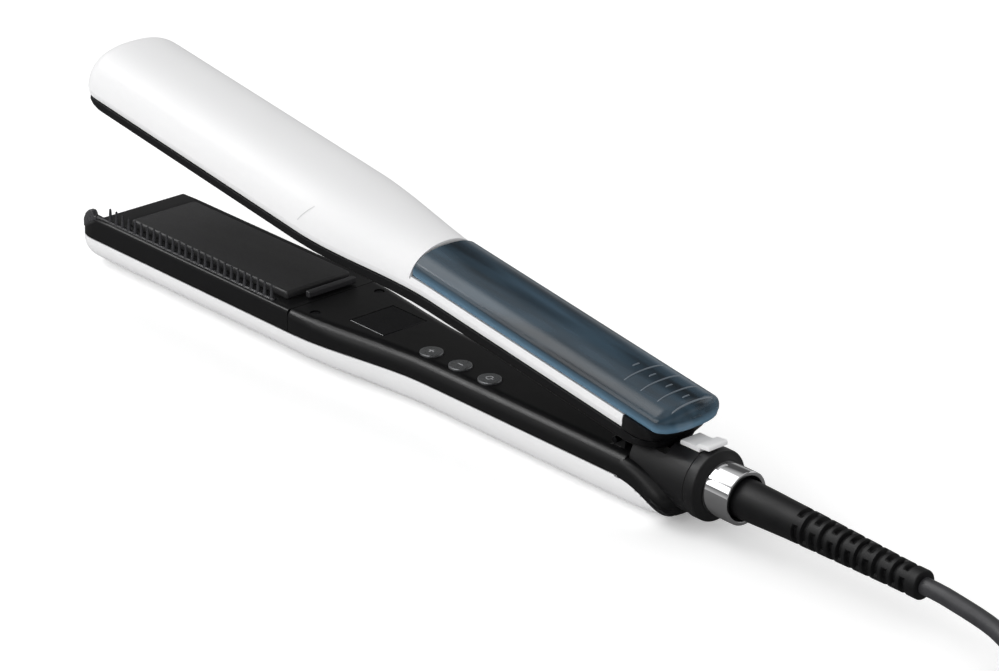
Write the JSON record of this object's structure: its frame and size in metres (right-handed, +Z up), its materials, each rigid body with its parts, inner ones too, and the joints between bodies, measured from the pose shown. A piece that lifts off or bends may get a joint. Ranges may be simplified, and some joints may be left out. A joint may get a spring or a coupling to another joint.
{
  "type": "steam hair straightener",
  "caption": "Two hinged arms with heated plates and a comb, a slide-off water tank, display, keys, swivelling boot and coiled cord.",
  "frame": {"origin": "on the resting plane, straight below the hinge pin", "axes": "+X along the tool towards the cord, +Y across it to the far side, +Z up"},
  "size_m": [0.6169, 0.0664, 0.0876],
  "materials": {
    "white_shell": "satin white moulding",
    "black_frame": "satin black heat-proof moulding",
    "black_tail": "smooth black moulding",
    "plate_coating": "dark ceramic coating",
    "heater_ceramic": "flat ceramic heater in aluminium",
    "spring_steel": "spring steel",
    "carrier_resin": "heat-resistant resin",
    "chamber_metal": "cast metal",
    "smoked_tank": "smoked blue clear plastic",
    "seal_rubber": "silicone rubber",
    "black_rubber": "matte black rubber",
    "hose_rubber": "silicone tube",
    "pump_plastic": "plain moulding",
    "display_glass": "glossy black window",
    "button_metal": "grey metallic",
    "board_green": "circuit board",
    "pin_steel": "ground steel",
    "chrome": "polished chrome",
    "cord_rubber": "black cord sheath",
    "plug_brass": "nickel-plated brass"
  },
  "bodies": {
    "lower_arm": {"lower_shell": "white_shell", "lower_head_frame": "black_frame", "lower_handle_frame": "black_frame", "guard_bar": "black_frame", "stop_buffer_near": "black_rubber", "stop_buffer_far": "black_rubber", "display_window": "display_glass", "control_board": "board_green", "hinge_pin": "pin_steel", "hinge_spring": "spring_steel", "tail_barrel": "black_tail", "tail_collar": "black_tail", "chrome_ring": "chrome", "lower_plate_spring": "spring_steel", "cord": "cord_rubber", "cord_coil": "cord_rubber", "coil_tie": "black_rubber", "cord_end": "cord_rubber", "plug_body": "black_rubber", "plug_pin_near": "plug_brass", "plug_pin_far": "plug_brass"},
    "upper_arm": {"upper_shell": "white_shell", "upper_frame": "black_frame", "plate_carrier": "carrier_resin", "steam_chamber": "chamber_metal", "steam_manifold": "black_frame", "water_pump": "pump_plastic", "pump_saddle": "black_frame", "inlet_hose": "hose_rubber", "outlet_hose": "hose_rubber", "tank_bulkhead": "black_frame", "tank_seal": "seal_rubber", "tank_cradle": "black_frame", "upper_plate_spring": "spring_steel"},
    "lower_plate_unit": {"lower_plate": "plate_coating", "lower_heater": "heater_ceramic"},
    "upper_plate_unit": {"upper_plate": "plate_coating", "upper_heater": "heater_ceramic"},
    "comb_unit": {"comb": "black_frame"},
    "tank_unit": {"water_tank": "smoked_tank", "tank_plug": "seal_rubber"},
    "lock_unit": {"lock_slider": "white_shell"},
    "plus_key": {"button_plus": "button_metal"},
    "minus_key": {"button_minus": "button_metal"},
    "power_key": {"button_power": "button_metal"},
    "boot_unit": {"cord_boot": "black_rubber"}
  },
  "joints": [
    {"name": "arm_hinge", "type": "hinge", "parent": "lower_arm", "child": "upper_arm", "pos_m": [0, 0, 0.0235], "axis": [0, -1, 0], "range_deg": [0, 8.2], "stiffness_Nm_per_rad": 1, "springref_deg": -20.05},
    {"name": "lower_plate_float", "type": "slide", "parent": "lower_arm", "child": "lower_plate_unit", "axis": [0, 0, -1], "range_m": [0, 0.0008], "stiffness_N_per_m": 5000, "springref_m": -0.0006, "deforming": ["lower_plate_spring"]},
    {"name": "upper_plate_float", "type": "slide", "parent": "upper_arm", "child": "upper_plate_unit", "axis": [0.1426, 0, 0.9898], "range_m": [0, 0.0008], "stiffness_N_per_m": 5000, "springref_m": -0.0006, "deforming": ["upper_plate_spring"]},
    {"name": "comb_slide", "type": "slide", "parent": "lower_arm", "child": "comb_unit", "axis": [-1, 0, 0], "range_m": [0, 0.107]},
    {"name": "tank_slide", "type": "slide", "parent": "upper_arm", "child": "tank_unit", "axis": [0.9285, 0, 0.3714], "range_m": [0, 0.12]},
    {"name": "lock_slide", "type": "slide", "parent": "lower_arm", "child": "lock_unit", "axis": [-1, 0, 0], "range_m": [0, 0.0018]},
    {"name": "plus_press", "type": "slide", "parent": "lower_arm", "child": "plus_key", "axis": [0, 0, -1], "range_m": [0, 0.0005], "stiffness_N_per_m": 2000, "springref_m": -0.0003},
    {"name": "minus_press", "type": "slide", "parent": "lower_arm", "child": "minus_key", "axis": [0, 0, -1], "range_m": [0, 0.0005], "stiffness_N_per_m": 2000, "springref_m": -0.0003},
    {"name": "power_press", "type": "slide", "parent": "lower_arm", "child": "power_key", "axis": [0, 0, -1], "range_m": [0, 0.0005], "stiffness_N_per_m": 2000, "springref_m": -0.0003},
    {"name": "boot_swivel", "type": "hinge", "parent": "lower_arm", "child": "boot_unit", "pos_m": [0.05, 0, 0.0162], "axis": [1, 0, 0], "continuous": true}
  ]
}
